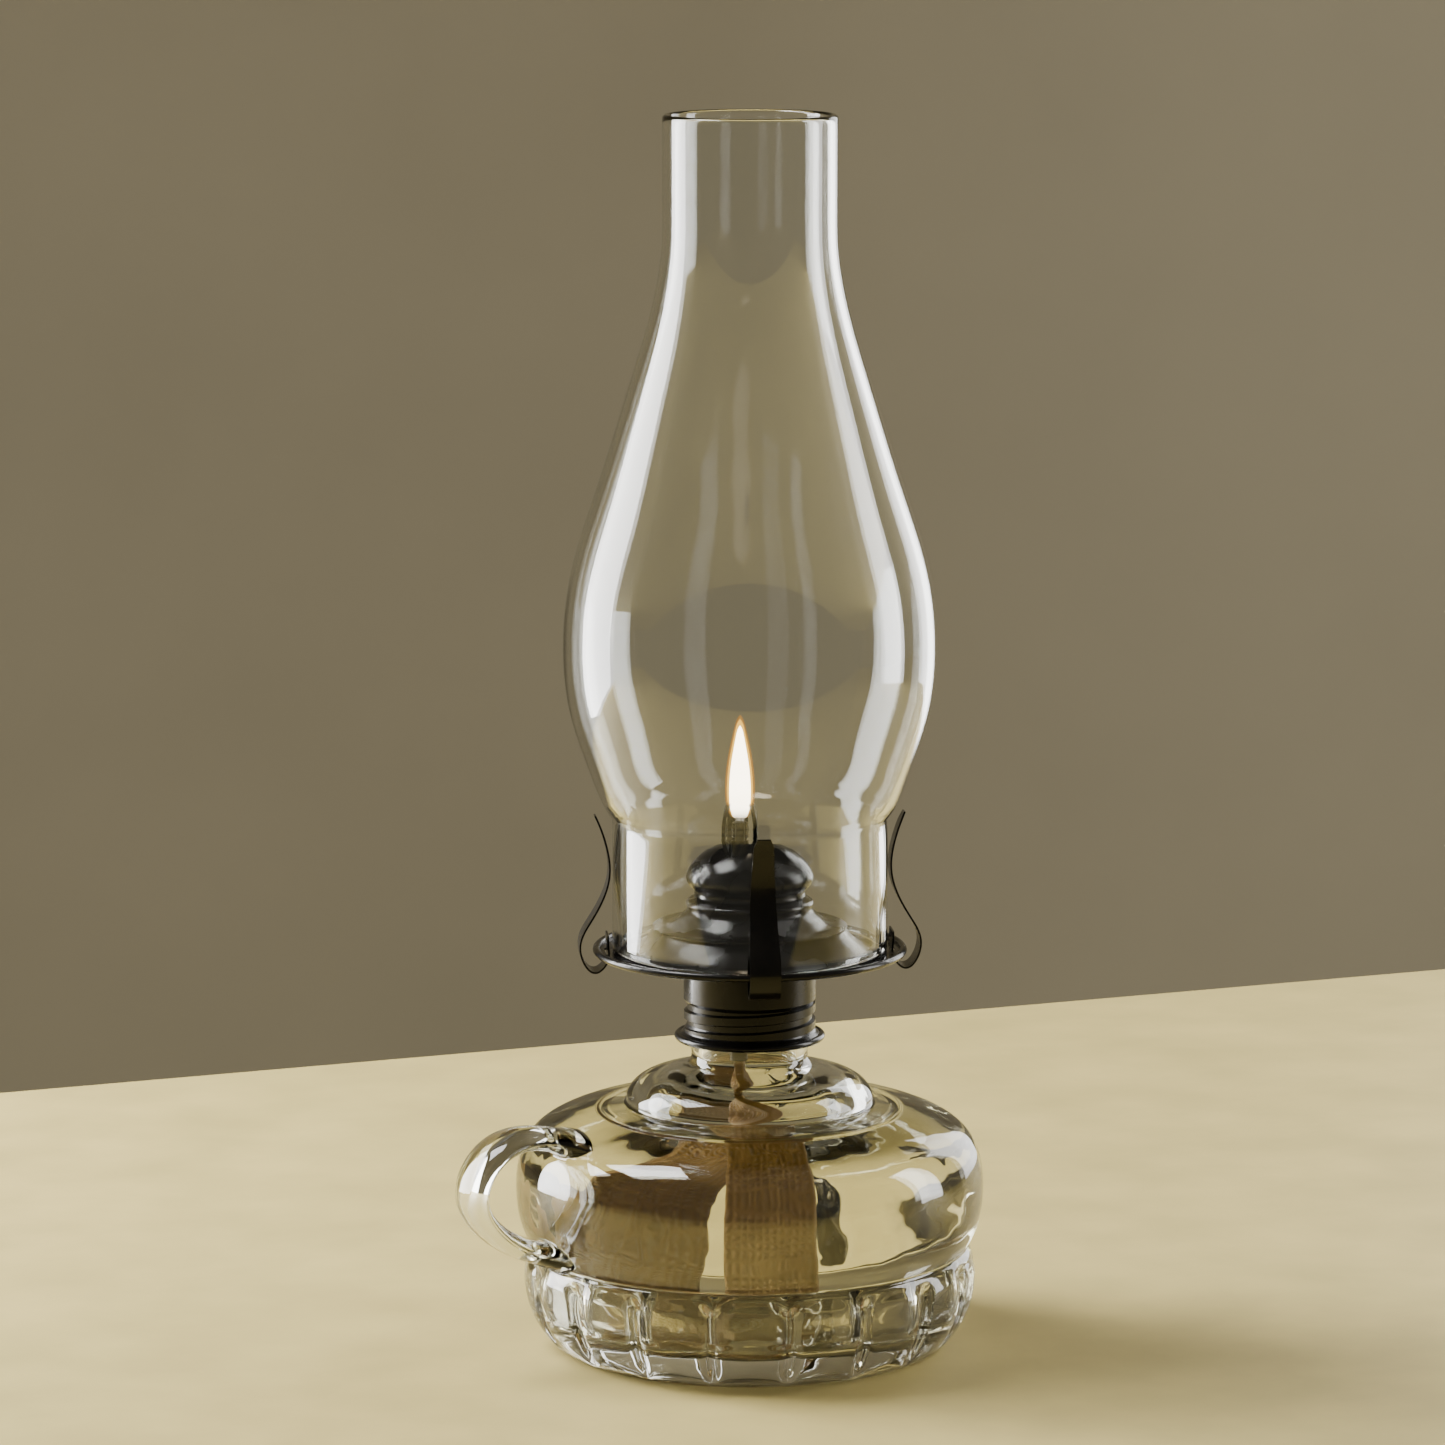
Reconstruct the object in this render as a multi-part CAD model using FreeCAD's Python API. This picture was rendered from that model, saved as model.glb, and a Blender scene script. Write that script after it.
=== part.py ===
"""Flat-wick oil lamp with a finger handle, in millimetres.

+Z is up, the origin is the centre of the ring that the font stands on, and the handle points along -X.
The burner is drawn with its knob along +Y and then turned about Z to the angle where its thread seats.
Each function below makes one physical piece; build() writes one STEP file per piece.
"""

import FreeCAD
import Part
import math
import os

Vector = FreeCAD.Vector
Z_AXIS = Vector(0, 0, 1)

# ---- font (the glass oil vessel with its handle) ----
foot_radius = 46.0  # outer edge of the flat ring that touches the table
foot_ring_width = 5.0
foot_recess = 3.0  # hollow under the middle of the foot
band_radius = 55.0  # fluted band round the foot
band_height = 24.5
band_groove = 2.2  # step in between the band and the body
flute_count = 18
flute_depth = 2.8
body_radius = 57.0
body_height = 60.0  # table to the root of the disc
disc_radius = 29.3  # round step below the neck
disc_height = 9.6
neck_radius = 14.2
neck_height = 15.0
bore_radius = 11.4
glass_wall = 3.6
floor_thickness = 5.5

# ---- finger handle ----
handle_reach = 19.4  # from the widest part of the body to the strap's middle
handle_width = 14.0
handle_thickness = 5.6
handle_top = 57.6
handle_bottom = 27.5

# ---- screw thread between neck and cap ----
thread_pitch = 4.2
thread_height = 1.05  # how far the glass thread stands out of the neck
thread_play = 0.35
neck_thread_turns = 1.0
neck_thread_start = 3.6  # from the lip down to the thread's upper end

# ---- sheet metal of the burner ----
sheet = 0.45
joint_gap = 0.02  # between sheet parts that fit inside each other
moving_gap = 0.30  # between pieces that move past each other
cap_band_height = 8.9  # plain band above the cap's thread
cap_skirt = 8.6  # from the gasket down to the cap's rolled bead
cap_bead_radius = 0.85
cap_bead_reach = 3.1  # how far the bead stands out of the cap's wall
gasket_thickness = 1.1
basket_rise = 2.4
basket_collar = 2.5  # how far it reaches down inside the cap
basket_hole_radius = 1.1
basket_hole_count = 28
basket_rows = 2
seat_width = 3.4  # flat ring that the chimney stands on
deck_slope_height = 5.7
deck_bead_radius = 0.9
brim_lap = 1.6  # how far the cone's brim and the deck's inner flange lie on each other
cone_brim_radius = 23.6
cone_height = 9.0
cone_bead_radius = 15.4
cone_neck_radius = 13.0
dome_radius = 15.4
dome_height = 11.0
dome_hole_length = 6.4
dome_hole_width = 4.4
dome_hole_count = 4
lip_height = 10.4
lip_bulge = 0.8
lip_sheet = 0.9  # the lips are folded double

# ---- wick and its tube ----
wick_width = 15.9
wick_thickness = 2.4
wick_above_tube = 3.2
wick_clear_of_floor = 7.0
wick_twist = 80.0  # turn of the soaked length against the length in the tube, degrees
wick_twist_start = 7.0  # below the tube
wick_twist_length = 14.0
wick_drift = 6.0  # sideways shift of the soaked length, away from the tube's side
tube_wall = 0.4
tube_fit = 0.4  # air between the wick's faces and the tube
tube_rise = 2.7  # above the dome's crown
tube_end_fit = 0.7  # air past the wick's square edges, where the tube rounds off
tube_below_plate = 14.0
tube_offset = -2.4  # the tube stands beside the burner's axis to make room for the raiser

# ---- wick raiser ----
shaft_radius = 1.2
wheel_tip_radius = 3.4
wheel_root_radius = 2.3
wheel_teeth = 10
wheel_thickness = 1.0
wheel_count = 3
wheel_spacing = 4.6
wheel_tip_gap = 0.1  # tooth tips to the wick's face
knob_radius = 8.5
knob_thickness = 2.4
knob_notches = 28
knob_clear_of_prongs = 4.0
shaft_gap = 0.05  # running fit of the shaft in its bearings
sleeve_wall = 0.7
bearing_width = 5.0
bearing_thickness = 0.8
bearing_foot = 2.4

# ---- chimney ----
fitter_radius = 33.35  # 2 5/8 inch base
fitter_height = 33.0
chimney_height = 202.0
bulge_radius = 45.0
top_radius = 21.0
chimney_wall = 1.9

# ---- chimney prongs ----
prong_count = 4
prong_clock = 6.0  # angle of the first prong from the knob's axis, degrees
prong_root_width = 7.4
prong_tip_width = 4.8
prong_sheet = 0.45
prong_to_glass = 0.6
prong_height = 33.5
prong_loop_reach = 6.7
prong_loop_drop = 4.6
prong_tab_height = 4.4

# ---- the wick's slack end, which lies on the font's floor and climbs the far wall ----
tail_start = 4.0  # from the font's axis
tail_start_angle = -30.0
tail_heading = 80.0  # direction it runs in, about Z
tail_gap = 0.25  # above the floor
tail_wall_gap = 6.6  # the climbing length stands this far in from the widest glass
tail_roof_gap = 4.4  # below the inside of the body's top

# ---- oil ----
oil_level = 56.0
oil_gap = 0.12  # between the oil and the glass

burner_clock = -31.0  # angle of the whole burner on the thread, degrees

# ---- levels worked out from the sizes above ----
disc_top = body_height + disc_height
lip_level = disc_top + neck_height
plate_level = lip_level + gasket_thickness
cap_top = plate_level + cap_band_height
floor_level = foot_recess + floor_thickness
thread_crest = neck_radius + thread_height
cap_valley = neck_radius + thread_height * 0.5  # the cap's inner wall between its thread turns
cap_ridge = thread_crest + thread_play
cap_wall = cap_ridge + sheet  # outer radius of the plain band
cap_bottom = plate_level - cap_skirt
seat_inner = fitter_radius - seat_width + 0.4
seat_outer = fitter_radius + prong_to_glass + 2.1
seat_level = cap_top + basket_rise + sheet
deck_inner = cone_brim_radius - 0.9
brim_level = seat_level + deck_slope_height + 0.5 * sheet + joint_gap  # the cone's sheet at its brim
cone_top = brim_level + cone_height
dome_seat = cone_top - 1.3
dome_top = dome_seat + 2.2 + dome_height
lip_top = dome_top + lip_height - 1.0
tube_inner_width = wick_width + 2 * tube_end_fit
tube_inner_thickness = wick_thickness + 2 * tube_fit
tube_width = tube_inner_width + 2 * tube_wall
tube_thickness = tube_inner_thickness + 2 * tube_wall
tube_top = dome_top + tube_rise
slot_length = tube_width + 2.0
slot_width = tube_thickness + 2.0
wick_top = tube_top + wick_above_tube
wick_bottom = floor_level + wick_clear_of_floor
hang_offset = tube_offset + wick_drift
tail_reach = body_radius - glass_wall - tail_wall_gap
tail_top = body_height - glass_wall - tail_roof_gap
well_radius = math.hypot(wick_width, wick_thickness) / 2 + max(abs(hang_offset), abs(tube_offset)) + 0.6
shaft_x = tube_offset + wick_thickness / 2 + wheel_tip_gap + wheel_tip_radius
shaft_level = plate_level + sheet + wheel_tip_radius + moving_gap
prong_slot = fitter_radius + prong_to_glass + prong_sheet / 2 + 0.45  # radius of the slots in the deck
deck_rim = seat_outer + deck_bead_radius + 0.25
prong_outer = prong_slot + prong_loop_reach
knob_face = prong_outer + knob_clear_of_prongs


def ring_point(radius, level):
    """A point of an outline in the XZ plane."""
    return Vector(radius, 0, level)


def line(a, b):
    return Part.makeLine(ring_point(*a), ring_point(*b))


def arc(a, through, b):
    return Part.Arc(ring_point(*a), ring_point(*through), ring_point(*b)).toShape()


def curve(points, start, end):
    """A smooth curve through (radius, level) points with the given end directions."""
    places = [ring_point(*p) for p in points]
    along = [0.0]
    for one, other in zip(places, places[1:]):
        along.append(along[-1] + (other - one).Length)
    spline = Part.BSplineCurve()
    spline.interpolate(
        Points=places,
        Parameters=along,
        InitialTangent=ring_point(*start).normalize(),
        FinalTangent=ring_point(*end).normalize(),
        Scale=False,
    )
    return spline.toShape()


def turned(edges):
    """The solid of revolution of a closed outline in the XZ plane."""
    face = Part.Face(Part.Wire(edges))
    return face.revolve(Vector(), Z_AXIS, 360)


def ribbon(points, start, end, thickness):
    """The face of a sheet of even thickness whose middle is a smooth curve in the XZ plane."""
    middle = curve(points, start, end)
    first, last = middle.ParameterRange
    stations = 36
    sides = []
    for side in (-1, 1):
        offset = []
        for i in range(stations + 1):
            at = first + (last - first) * i / stations
            tangent = middle.tangentAt(at)
            offset.append(middle.valueAt(at) + Vector(-tangent.z, 0, tangent.x) * (side * thickness / 2))
        spline = Part.BSplineCurve()
        spline.interpolate(offset)
        sides.append(spline.toShape())
    ends = [Part.makeLine(sides[0].Vertexes[i].Point, sides[1].Vertexes[i].Point) for i in (0, -1)]
    return Part.Face(Part.Wire(Part.__sortEdges__(sides + ends)))


def pressed_ring(points, start, end, thickness):
    """A pressed sheet part: the ribbon through the points, turned about Z."""
    return ribbon(points, start, end, thickness).revolve(Vector(), Z_AXIS, 360)


def bent_ring(points, thickness):
    """A sheet part with straight flanks and sharp bends: the line through the points, turned about Z."""
    middle = Part.Wire([line(a, b) for a, b in zip(points, points[1:])])
    sides = [middle.makeOffset2D(side * thickness / 2, openResult=True, join=2) for side in (1, -1)]
    ends = [
        Part.makeLine(sides[0].OrderedVertexes[i].Point, sides[1].OrderedVertexes[i].Point)
        for i in (0, -1)
    ]
    outline = Part.Wire(Part.__sortEdges__(sides[0].Edges + sides[1].Edges + ends))
    return Part.Face(outline).revolve(Vector(), Z_AXIS, 360)


def flat_ring(inner, outer, level):
    """A washer of sheet metal lying on z = level."""
    disc = Part.makeCylinder(outer, sheet, Vector(0, 0, level))
    return disc.cut(Part.makeCylinder(inner, sheet * 3, Vector(0, 0, level - sheet)))


def bead(radius, level, section):
    """A rolled edge: a solid ring of round section."""
    return Part.makeTorus(radius, section, Vector(0, 0, level))


def flat_oval(length, width, height, base, offset=0.0):
    """A prism with rounded ends, its long side along Y, standing on z = base at x = offset."""
    straight = length - width
    block = Part.makeBox(width, straight, height, Vector(offset - width / 2, -straight / 2, base))
    ends = [Part.makeCylinder(width / 2, height, Vector(offset, s * straight / 2, base)) for s in (-1, 1)]
    return block.multiFuse(ends).removeSplitter()


def turned_copy(shape, angle):
    copy = shape.copy()
    copy.rotate(Vector(), Z_AXIS, angle)
    return copy


def clocked(shape):
    """A burner piece, turned to where the thread seats."""
    return turned_copy(shape, burner_clock)


def helical_rib(root, crest, root_half, crest_half, low, high):
    """A thread of trapezium section along a right-hand helix that starts on the +X side at z = low."""
    helix = Part.makeHelix(thread_pitch, high - low, root)
    section = Part.makePolygon([
        Vector(root, 0, -root_half),
        Vector(crest, 0, -crest_half),
        Vector(crest, 0, crest_half),
        Vector(root, 0, root_half),
        Vector(root, 0, -root_half),
    ])
    rib = Part.Wire(helix).makePipeShell([section], True, True)
    rib.translate(Vector(0, 0, low))
    # one phase for every thread of the lamp: the ribs all lie on the helix through z = 0 at +X
    rib.rotate(Vector(), Z_AXIS, low / thread_pitch * 360)
    return rib


# ---------------------------------------------------------------- glass


def font_outside():
    body = body_height - band_height
    groove = (band_radius - band_groove, band_height)
    disc_root = (disc_radius + 0.6, body_height)
    neck_root = (neck_radius, disc_top + 1.6)
    lip_round = 0.9
    edges = [
        line((0, foot_recess), (foot_radius - foot_ring_width - foot_recess, foot_recess)),
        line((foot_radius - foot_ring_width - foot_recess, foot_recess), (foot_radius - foot_ring_width, 0)),
        line((foot_radius - foot_ring_width, 0), (foot_radius, 0)),
        curve(
            [
                (foot_radius, 0),
                (band_radius - 3.0, 0.24 * band_height),
                (band_radius, 0.58 * band_height),
                groove,
            ],
            (1, 0.35), (-0.8, 0.6),
        ),
        curve(
            [
                groove,
                (body_radius, band_height + 0.38 * body),
                (body_radius - 3.9, band_height + 0.78 * body),
                (body_radius - 12.0, band_height + 0.912 * body),
                disc_root,
            ],
            (0.8, 1), (-1, 0.1),
        ),
        curve(
            [
                disc_root,
                (disc_radius - 0.2, body_height + 0.36 * disc_height),
                (disc_radius - 5.0, body_height + 0.70 * disc_height),
                (neck_radius + 3.4, disc_top - 0.12 * disc_height),
                neck_root,
            ],
            (0.5, 1), (-0.15, 1),
        ),
        line(neck_root, (neck_radius, lip_level - lip_round)),
        arc(
            (neck_radius, lip_level - lip_round),
            (neck_radius - 0.29 * lip_round, lip_level - 0.29 * lip_round),
            (neck_radius - lip_round, lip_level),
        ),
        line((neck_radius - lip_round, lip_level), (0, lip_level)),
        line((0, lip_level), (0, foot_recess)),
    ]
    return turned(edges)


def font_inside(inset, top):
    """The hollow of the font, drawn smaller by inset, and open up to z = top."""
    wall = glass_wall + inset
    body = body_height - band_height
    floor = floor_level + inset
    bore = bore_radius - inset
    mouth = (bore, disc_top - 1.0)
    shoulder = (disc_radius - wall + 0.8, body_height - wall + 0.6)
    floor_edge = (foot_radius - wall - 4.5, floor)
    edges = [
        line((0, top), (bore, top)),
        line((bore, top), mouth),
        curve(
            [
                mouth,
                (bore_radius + 2.6 - inset, disc_top - 0.42 * disc_height),
                (disc_radius - wall - 1.4, body_height + 0.24 * disc_height),
                shoulder,
            ],
            (0.1, -1), (0.3, -1),
        ),
        curve(
            [
                shoulder,
                (body_radius - 12.8 - inset, band_height + 0.925 * body - wall),
                (body_radius - 3.9 - wall * 0.85, band_height + 0.74 * body),
                (body_radius - wall, band_height + 0.38 * body),
                (band_radius - band_groove - wall + 0.6, band_height),
                (band_radius - 2.0 - wall, 0.56 * band_height),
                floor_edge,
            ],
            (1, -0.15), (-1, -0.06),
        ),
        line(floor_edge, (0, floor)),
        line((0, floor), (0, top)),
    ]
    return turned(edges)


def handle():
    """The finger loop: a flat oval strap along a curve in the XZ plane."""
    out = body_radius + handle_reach
    middle = (handle_top + handle_bottom) / 2
    rise = handle_top - handle_bottom
    path = Part.BSplineCurve()
    path.interpolate([
        Vector(-(body_radius - 8.0), 0, handle_top - 0.11 * rise),
        Vector(-(body_radius + 3.0), 0, handle_top - 0.01 * rise),
        Vector(-(out - 6.5), 0, handle_top - 0.07 * rise),
        Vector(-out, 0, middle + 0.04 * rise),
        Vector(-(out - 5.2), 0, handle_bottom + 0.27 * rise),
        Vector(-(body_radius + 5.0), 0, handle_bottom + 0.09 * rise),
        Vector(-(body_radius - 3.6), 0, handle_bottom),
    ])
    spine = Part.Wire(path.toShape())
    start = path.value(path.FirstParameter)
    tangent = path.tangent(path.FirstParameter)[0]
    across = Vector(0, 1, 0)
    section = Part.Ellipse(
        start + across * (handle_width / 2),
        start + tangent.cross(across) * (handle_thickness / 2),
        start,
    )
    sweep = Part.BRepOffsetAPI.MakePipeShell(spine)
    sweep.setBiNormalMode(across)
    sweep.add(Part.Wire(section.toShape()))
    sweep.build()
    sweep.makeSolid()
    return sweep.shape()


def flute_cutters():
    """V-shaped grooves that part the lobes of the band."""
    side = 3 * flute_depth
    cutters = []
    for i in range(flute_count):
        cutter = Part.makeBox(side, side, band_height)
        cutter.rotate(Vector(), Z_AXIS, -45)
        cutter.translate(Vector(band_radius - flute_depth, 0, -0.5))
        cutter.rotate(Vector(), Z_AXIS, (i + 0.5) * 360 / flute_count)
        cutters.append(cutter)
    return cutters


def font():
    glass = font_outside()
    glass = glass.cut(Part.makeCompound(flute_cutters()))
    glass = glass.fuse(handle())
    glass = glass.cut(font_inside(0, lip_level + 1))
    high = lip_level - neck_thread_start + thread_pitch * 0.5
    low = high - neck_thread_turns * thread_pitch
    rib = helical_rib(neck_radius - 0.3, thread_crest, 1.45, 0.6, low, high)
    return glass.fuse(rib)


def lamp_oil():
    oil = font_inside(oil_gap, lip_level)
    above = Part.makeBox(400, 400, 200, Vector(-200, -200, oil_level))
    well = Part.makeCylinder(well_radius, lip_level)
    return oil.cut(above).cut(well).cut(wick_tail(oil_gap))


def chimney_outer(wall_in=0.0):
    """Points of the chimney's wall from the fitter to the top, moved in by wall_in along the wall's normal."""
    base = seat_level + joint_gap
    waist = base + fitter_height
    above = chimney_height - fitter_height
    shape = [
        (fitter_radius + 0.3, 0.0, 1.0, 1.2),
        (fitter_radius + 0.42 * (bulge_radius - fitter_radius), 0.056, 0.9, 1.7),
        (fitter_radius + 0.86 * (bulge_radius - fitter_radius), 0.148, 0.35, 1.0),
        (bulge_radius, 0.254, 0.0, 1.0),
        (top_radius + 0.94 * (bulge_radius - top_radius), 0.337, -0.22, 1.0),
        (top_radius + 0.66 * (bulge_radius - top_radius), 0.471, -0.31, 1.0),
        (top_radius + 0.31 * (bulge_radius - top_radius), 0.628, -0.31, 1.0),
        (top_radius + 0.055 * (bulge_radius - top_radius), 0.763, -0.18, 1.0),
        (top_radius + 0.02, 0.84, 0.0, 1.0),
    ]
    points = []
    for radius, share, slope_r, slope_z in shape:
        long = math.hypot(slope_r, slope_z)
        points.append((
            radius - wall_in * slope_z / long,
            waist + share * above + wall_in * slope_r / long,
        ))
    return points, base, base + chimney_height


def chimney():
    outer, base, top = chimney_outer()
    inner, _, _ = chimney_outer(chimney_wall)
    rim = 0.45 * chimney_wall
    fitter_in = fitter_radius - chimney_wall
    edges = [
        line((fitter_radius, base + rim), (fitter_radius, outer[0][1] - 1.2)),
        line((fitter_radius, outer[0][1] - 1.2), outer[0]),
        curve(outer, (1.0, 1.2), (0, 1)),
        line(outer[-1], (top_radius, top - rim)),
        arc((top_radius, top - rim), (top_radius - 0.5 * chimney_wall, top),
            (top_radius - chimney_wall, top - rim)),
        line((top_radius - chimney_wall, top - rim), inner[-1]),
        curve(inner, (1.0, 1.2), (0, 1)),
        line(inner[0], (fitter_in, inner[0][1] - 1.4)),
        line((fitter_in, inner[0][1] - 1.4), (fitter_in, base + rim)),
        arc((fitter_in, base + rim), (fitter_radius - 0.5 * chimney_wall, base), (fitter_radius, base + rim)),
    ]
    return turned(edges)


# ---------------------------------------------------------------- burner


def screw_cap():
    """The threaded shell: plain band above, rolled thread, and a rolled bead round its mouth."""
    shoulder = plate_level - 0.6  # where the plain band ends
    thread_end = plate_level - 1.7
    wall = cap_valley + sheet
    flare = cap_wall + cap_bead_reach - 2 * cap_bead_radius
    mouth = cap_bottom - cap_bead_radius
    outside = turned([
        line((0, mouth - 0.3), (flare, mouth - 0.3)),
        line((flare, mouth - 0.3), (flare, mouth + 0.4)),
        line((flare, mouth + 0.4), (cap_wall + 0.1, cap_bottom + 0.5)),
        line((cap_wall + 0.1, cap_bottom + 0.5), (wall, cap_bottom + 2.4)),
        line((wall, cap_bottom + 2.4), (wall, shoulder - 0.6)),
        line((wall, shoulder - 0.6), (cap_wall, shoulder + 0.4)),
        line((cap_wall, shoulder + 0.4), (cap_wall, cap_top)),
        line((cap_wall, cap_top), (0, cap_top)),
        line((0, cap_top), (0, mouth - 0.3)),
    ])
    ridge = helical_rib(cap_valley - 0.5, cap_wall - 0.05, 1.9, 0.95, cap_bottom - 0.1, thread_end)
    outside = outside.fuse(bead(flare, mouth, cap_bead_radius)).fuse(ridge)
    inside = turned([
        line((0, mouth - 4), (flare - 0.2, mouth - 4)),
        line((flare - 0.2, mouth - 4), (flare - 0.2, mouth - 0.1)),
        line((flare - 0.2, mouth - 0.1), (cap_ridge + 0.15, cap_bottom + 0.2)),
        line((cap_ridge + 0.15, cap_bottom + 0.2), (cap_valley, cap_bottom + 2.2)),
        line((cap_valley, cap_bottom + 2.2), (cap_valley, shoulder - 0.2)),
        line((cap_valley, shoulder - 0.2), (cap_wall - sheet, shoulder + 0.6)),
        line((cap_wall - sheet, shoulder + 0.6), (cap_wall - sheet, cap_top + 1)),
        line((cap_wall - sheet, cap_top + 1), (0, cap_top + 1)),
        line((0, cap_top + 1), (0, mouth - 4)),
    ])
    groove = helical_rib(cap_valley - 0.6, cap_ridge, 1.9, 0.85, cap_bottom + 0.3, thread_end - 0.4)
    hole = Part.makeCylinder(
        shaft_radius + shaft_gap + sleeve_wall, 30, Vector(shaft_x, 0, shaft_level), Vector(0, 1, 0)
    )
    return outside.cut(inside.fuse(groove)).cut(clocked(hole))


def cap_gasket():
    inner, outer = bore_radius + 0.3, cap_valley - 0.25
    ring = Part.makeCylinder(outer, gasket_thickness - joint_gap, Vector(0, 0, lip_level + joint_gap / 2))
    return ring.cut(Part.makeCylinder(inner, gasket_thickness * 2, Vector(0, 0, lip_level - 0.2)))


def tube_plate():
    """The disc across the cap that carries the wick tube and the shaft's bracket."""
    disc = Part.makeCylinder(cap_wall - sheet - joint_gap, sheet, Vector(0, 0, plate_level))
    slot = flat_oval(
        tube_width + 2 * joint_gap, tube_thickness + 2 * joint_gap, 2, plate_level - 0.5, tube_offset
    )
    vent = Part.makeCylinder(0.8, 2, Vector(tube_offset - 6.0, 4.0, plate_level - 0.5))
    return clocked(disc.cut(slot).cut(vent))


def wheel_places():
    first = -(wheel_count - 1) / 2
    return [(first + i) * wheel_spacing for i in range(wheel_count)]


def wick_tube():
    bottom = plate_level - tube_below_plate
    height = tube_top - bottom
    tube = flat_oval(tube_width, tube_thickness, height, bottom, tube_offset)
    tube = tube.cut(flat_oval(tube_inner_width, tube_inner_thickness, height + 2, bottom - 1, tube_offset))
    for y in wheel_places():
        reach = wheel_tip_radius + moving_gap
        window = Part.makeCylinder(
            reach, wheel_thickness + 2 * moving_gap,
            Vector(shaft_x, y - wheel_thickness / 2 - moving_gap, shaft_level), Vector(0, 1, 0),
        )
        tube = tube.cut(window)
    return clocked(tube)


def draft_basket():
    """The pierced bowl that lets air in under the chimney's seat."""
    collar_radius = cap_wall - sheet - joint_gap - sheet / 2
    flange_level = seat_level - sheet - joint_gap - sheet / 2
    turn_out = cap_top + joint_gap + sheet
    middle = [
        (collar_radius, cap_top - basket_collar),
        (collar_radius, turn_out),
        (seat_inner - 1.5, flange_level - 0.2),
        (seat_inner, flange_level),
        (fitter_radius, flange_level),
    ]
    bowl = bent_ring(middle, sheet)
    holes = []
    for row in range(basket_rows):
        share = (row + 1) / (basket_rows + 1)
        radius = collar_radius + share * (seat_inner - collar_radius)
        for i in range(basket_hole_count):
            hole = Part.makeCylinder(basket_hole_radius, 8, Vector(radius, 0, cap_top - 3))
            hole.rotate(Vector(), Z_AXIS, (i + row / 2) * 360 / basket_hole_count)
            holes.append(hole)
    return clocked(bowl.cut(Part.makeCompound(holes)))


def prong_angles():
    """Angles of the prongs about Z in the burner's own frame, from the +X axis."""
    return [90 + prong_clock + i * 360 / prong_count for i in range(prong_count)]


def gallery():
    """The deck: a sloping ring, the flat seat for the chimney, and a rolled rim with slots for the prongs."""
    middle_level = seat_level - sheet / 2
    slope = pressed_ring(
        [
            (deck_inner, middle_level + deck_slope_height),
            (deck_inner + 0.42 * (seat_inner - deck_inner), middle_level + 0.42 * deck_slope_height),
            (seat_inner, middle_level),
        ],
        (0.75, -1), (1, -0.12), sheet,
    )
    seat = flat_ring(seat_inner - 0.05, deck_rim - 0.3, seat_level - sheet)
    flange = flat_ring(deck_inner - brim_lap, deck_inner + 0.1, middle_level + deck_slope_height - sheet / 2)
    deck = slope.multiFuse([seat, flange, bead(deck_rim, middle_level + 0.35, deck_bead_radius)])
    for angle in prong_angles():
        slot = Part.makeBox(
            prong_sheet + 2 * moving_gap, prong_root_width + 2 * moving_gap, 3,
            Vector(prong_slot - prong_sheet / 2 - moving_gap, -prong_root_width / 2 - moving_gap, seat_level - 2),
        )
        deck = deck.cut(turned_copy(slot, angle))
    return clocked(deck)


def cone():
    """The flared skirt between the deck and the dome, pressed with one round bead."""
    neck = cone_neck_radius - sheet / 2
    flat_from = deck_inner - brim_lap
    skirt = pressed_ring(
        [
            (neck, cone_top),
            (neck, brim_level + 0.82 * cone_height),
            (cone_bead_radius - sheet / 2, brim_level + 0.66 * cone_height),
            (cone_bead_radius - 0.5, brim_level + 0.50 * cone_height),
            (cone_bead_radius + 0.9, brim_level + 0.31 * cone_height),
            (cone_bead_radius + 2.9, brim_level + 0.12 * cone_height),
            (flat_from, brim_level),
        ],
        (0, -1), (1, 0), sheet,
    )
    return clocked(skirt.fuse(flat_ring(flat_from - 0.05, cone_brim_radius, brim_level - sheet / 2)))


def dome():
    """The cap over the wick tube: a dome with a slot, two lips beside the slot and oval draft holes."""
    skirt = cone_neck_radius + joint_gap + sheet / 2
    edge_level = dome_seat + 2.2
    crown = edge_level + dome_height
    shell = pressed_ring(
        [
            (skirt, dome_seat),
            (skirt, dome_seat + 1.2),
            (dome_radius - 0.9, edge_level + 0.04 * dome_height),
            (dome_radius - sheet / 2, edge_level + 0.20 * dome_height),
            (dome_radius - 1.6, edge_level + 0.48 * dome_height),
            (0.62 * dome_radius, edge_level + 0.80 * dome_height),
            (0.28 * dome_radius, edge_level + 0.96 * dome_height),
            (0, crown - sheet / 2),
        ],
        (0, 1), (-1, 0), sheet,
    )
    shell = shell.cut(flat_oval(slot_length, slot_width, 12, crown - 8, tube_offset))
    for i in range(dome_hole_count):
        hole = flat_oval(dome_hole_length, dome_hole_width, 12, crown - 9)
        hole.rotate(Vector(), Z_AXIS, 90)
        hole.translate(Vector(0.62 * dome_radius, 0, 0))
        hole.rotate(Vector(), Z_AXIS, 45 + i * 360 / dome_hole_count)
        shell = shell.cut(hole)
    return clocked(shell.multiFuse(slot_lips()))


def slot_lips():
    """Two bulged plates along the slot's long sides, rounded at their upper corners."""
    root = dome_top - 1.6
    half = slot_width / 2
    section = ribbon(
        [(half, root), (half + lip_bulge, (root + lip_top) / 2), (half - 0.4, lip_top)],
        (0.4, 1), (-0.5, 1), lip_sheet,
    )
    length = slot_length - slot_width * 0.55
    plate = section.extrude(Vector(0, length, 0))
    plate.translate(Vector(0, -length / 2, 0))
    arch_radius = length * 0.62
    arch = Part.makeCylinder(
        arch_radius, slot_width * 2, Vector(-0.5, 0, lip_top - arch_radius), Vector(1, 0, 0)
    )
    plate = plate.common(arch)
    pair = [plate, plate.mirror(Vector(), Vector(1, 0, 0))]
    for lip in pair:
        lip.translate(Vector(tube_offset, 0, 0))
    return pair


# ---------------------------------------------------------------- wick raiser


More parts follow.
